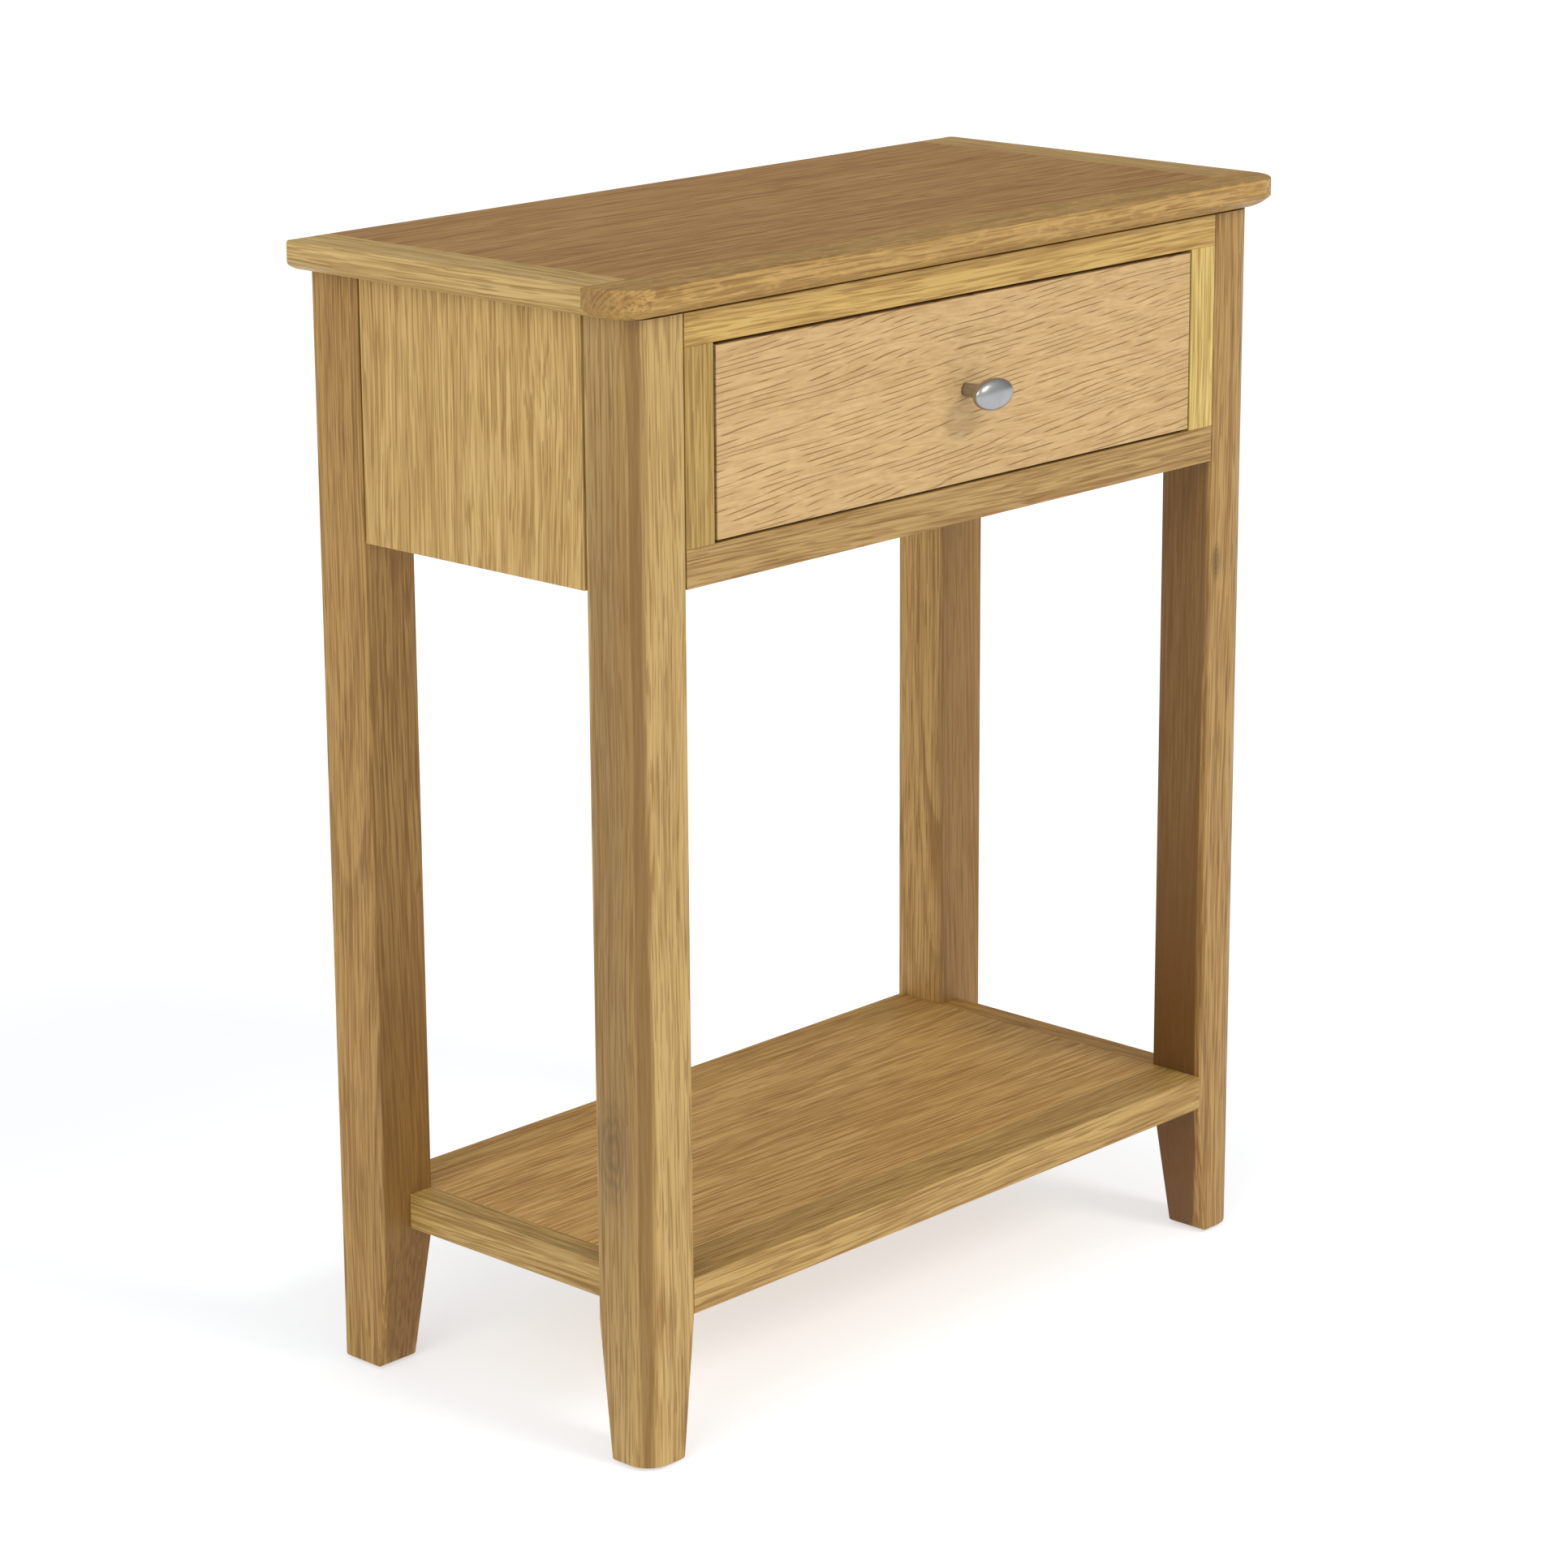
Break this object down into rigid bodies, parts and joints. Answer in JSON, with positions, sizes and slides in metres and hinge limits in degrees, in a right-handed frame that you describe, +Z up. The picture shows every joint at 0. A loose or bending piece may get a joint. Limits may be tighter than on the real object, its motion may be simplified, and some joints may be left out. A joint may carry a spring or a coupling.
{
  "type": "side table with drawer",
  "caption": "Slim oak side table with a framed top, tapered legs, a wide drawer with an oval metal knob, and a low shelf.",
  "frame": {"origin": "on the floor, under the middle of the bounding box, knob included", "axes": "+Z up, -Y out of the drawer front towards the user, +X to the user's right"},
  "size_m": [0.674, 0.338, 0.8],
  "materials": {
    "oak_top": "satin oil",
    "oak_frame": "satin oil",
    "oak_panel": "satin oil",
    "oak_drawer_front": "satin oil",
    "oak_shelf": "satin oil",
    "drawer_wood": "planed, unpolished",
    "satin_nickel": "satin",
    "zinc_plate": "bright zinc plate",
    "glide_plastic": "matt"
  },
  "bodies": {
    "carcass": {"top_centre_panel": "oak_top", "top_front_rail": "oak_top", "top_back_rail": "oak_top", "top_left_cleat": "oak_top", "top_right_cleat": "oak_top", "leg_front_left": "oak_frame", "leg_front_right": "oak_frame", "leg_back_left": "oak_frame", "leg_back_right": "oak_frame", "side_panel_left": "oak_panel", "side_panel_right": "oak_panel", "back_panel": "oak_panel", "front_over_rail": "oak_frame", "front_under_rail": "oak_frame", "front_left_stile": "oak_frame", "front_right_stile": "oak_frame", "runner_left": "drawer_wood", "runner_right": "drawer_wood", "guide_left": "drawer_wood", "guide_right": "drawer_wood", "kicker_left": "drawer_wood", "kicker_right": "drawer_wood", "guide_screws": "zinc_plate", "top_fixing_screws": "zinc_plate", "drawer_stops": "drawer_wood", "shelf_panel": "oak_shelf", "shelf_front_board": "oak_shelf", "shelf_back_board": "oak_shelf", "shelf_left_board": "oak_shelf", "shelf_right_board": "oak_shelf", "shelf_dowels": "drawer_wood", "foot_glides": "glide_plastic"},
    "drawer": {"drawer_front": "oak_drawer_front", "drawer_side_left": "drawer_wood", "drawer_side_right": "drawer_wood", "drawer_back": "drawer_wood", "drawer_bottom": "drawer_wood", "drawer_bottom_screws": "zinc_plate", "knob": "satin_nickel", "knob_screw": "zinc_plate", "turn_button_screw": "zinc_plate"},
    "button": {"turn_button": "oak_frame"}
  },
  "joints": [
    {"name": "drawer_slide", "type": "slide", "parent": "carcass", "child": "drawer", "axis": [0, -1, 0], "range_m": [0, 0.2244]},
    {"name": "button_turn", "type": "hinge", "parent": "drawer", "child": "button", "pos_m": [0, 0.1105, 0.728], "axis": [0, -1, 0], "range_deg": [-90, 90]}
  ]
}
